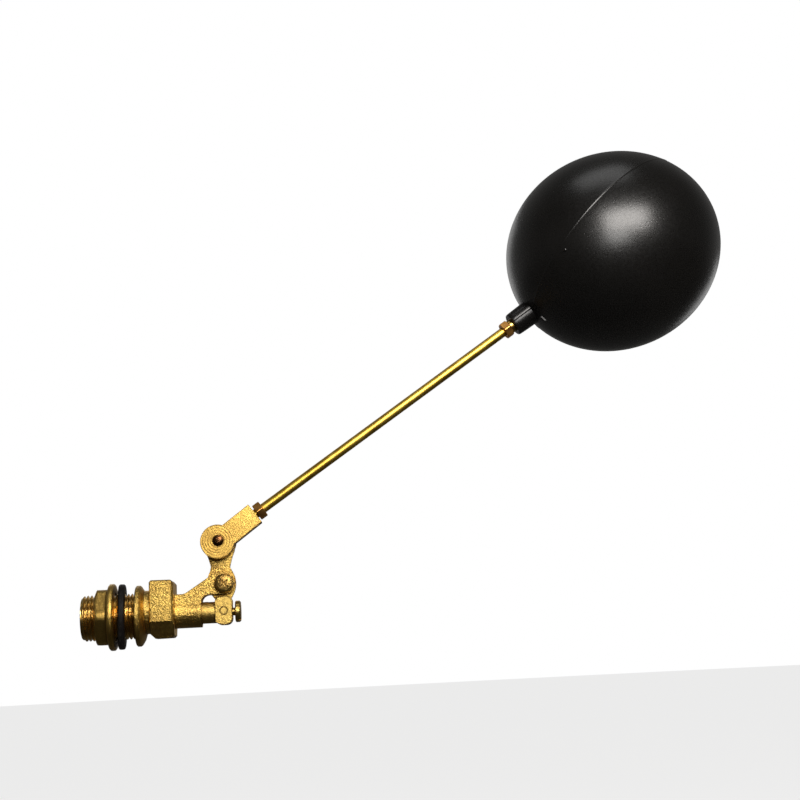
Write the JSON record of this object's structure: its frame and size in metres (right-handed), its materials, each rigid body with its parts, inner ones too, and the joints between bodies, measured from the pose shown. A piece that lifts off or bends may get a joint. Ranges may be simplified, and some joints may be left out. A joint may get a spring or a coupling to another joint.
{
  "type": "float valve",
  "caption": "Brass float valve: threaded inlet with backnut and washer, sliding plunger worked by a hinged lever, and a plastic ball on a rod.",
  "frame": {"origin": "centre of the body flange's sealing face, on the inlet pipe's axis, where the tank wall is clamped", "axes": "+X along the pipe axis from the inlet towards the plunger's end screw; +Z from the pipe axis towards the lever pivot; Y along the pivot and clamp bolt. In a tank the valve is turned half round the pipe axis, so +Z points down and the rising ball pushes the plunger onto its seat."},
  "size_m": [0.2485, 0.077, 0.1831],
  "materials": {
    "cast_brass": "as-cast, fine sand grain",
    "machined_brass": "turned and polished",
    "dark_brass": "tarnished screw heads",
    "black_rubber": "matte moulded rubber",
    "black_plastic": "satin blow-moulded polyethylene"
  },
  "bodies": {
    "valve_body": {"body": "cast_brass", "seat_nozzle": "machined_brass", "pivot_screw": "dark_brass", "pivot_washer": "machined_brass", "pivot_nut": "machined_brass"},
    "plunger": {"plunger": "machined_brass", "seat_washer": "black_rubber", "cross_pin": "machined_brass", "end_screw": "machined_brass"},
    "lever": {"lever": "cast_brass", "clamp_bolt": "dark_brass", "clamp_washer": "machined_brass"},
    "arm": {"arm_block": "cast_brass", "inner_locknut": "machined_brass", "float_rod": "machined_brass", "outer_locknut": "machined_brass", "float_insert": "machined_brass", "float_ball": "black_plastic"},
    "backnut": {"backnut": "cast_brass"},
    "sealing_washer": {"sealing_washer": "black_rubber"}
  },
  "joints": [
    {"name": "float_arm", "type": "hinge", "parent": "valve_body", "child": "lever", "pos_m": [0.0324, 0, 0.0102], "axis": [0, -1, 0], "range_deg": [0, 20]},
    {"name": "plunger_slide", "type": "slide", "parent": "valve_body", "child": "plunger", "axis": [1, 0, 0], "range_m": [0, 0.0036]},
    {"name": "arm_angle", "type": "hinge", "parent": "lever", "child": "arm", "pos_m": [0.0308, 0, 0.0258], "axis": [0, -1, 0], "range_deg": [-30, 40]},
    {"name": "washer_slide", "type": "slide", "parent": "valve_body", "child": "sealing_washer", "axis": [1, 0, 0], "range_m": [-0.0001, 0.0027]},
    {"name": "backnut_spin", "type": "hinge", "parent": "valve_body", "child": "backnut", "pos_m": [-0.0105, 0, 0], "axis": [1, 0, 0], "continuous": true}
  ],
  "couplings": [
    {"joint": "plunger_slide", "follows": "float_arm", "m_per_rad": 0.01008}
  ]
}
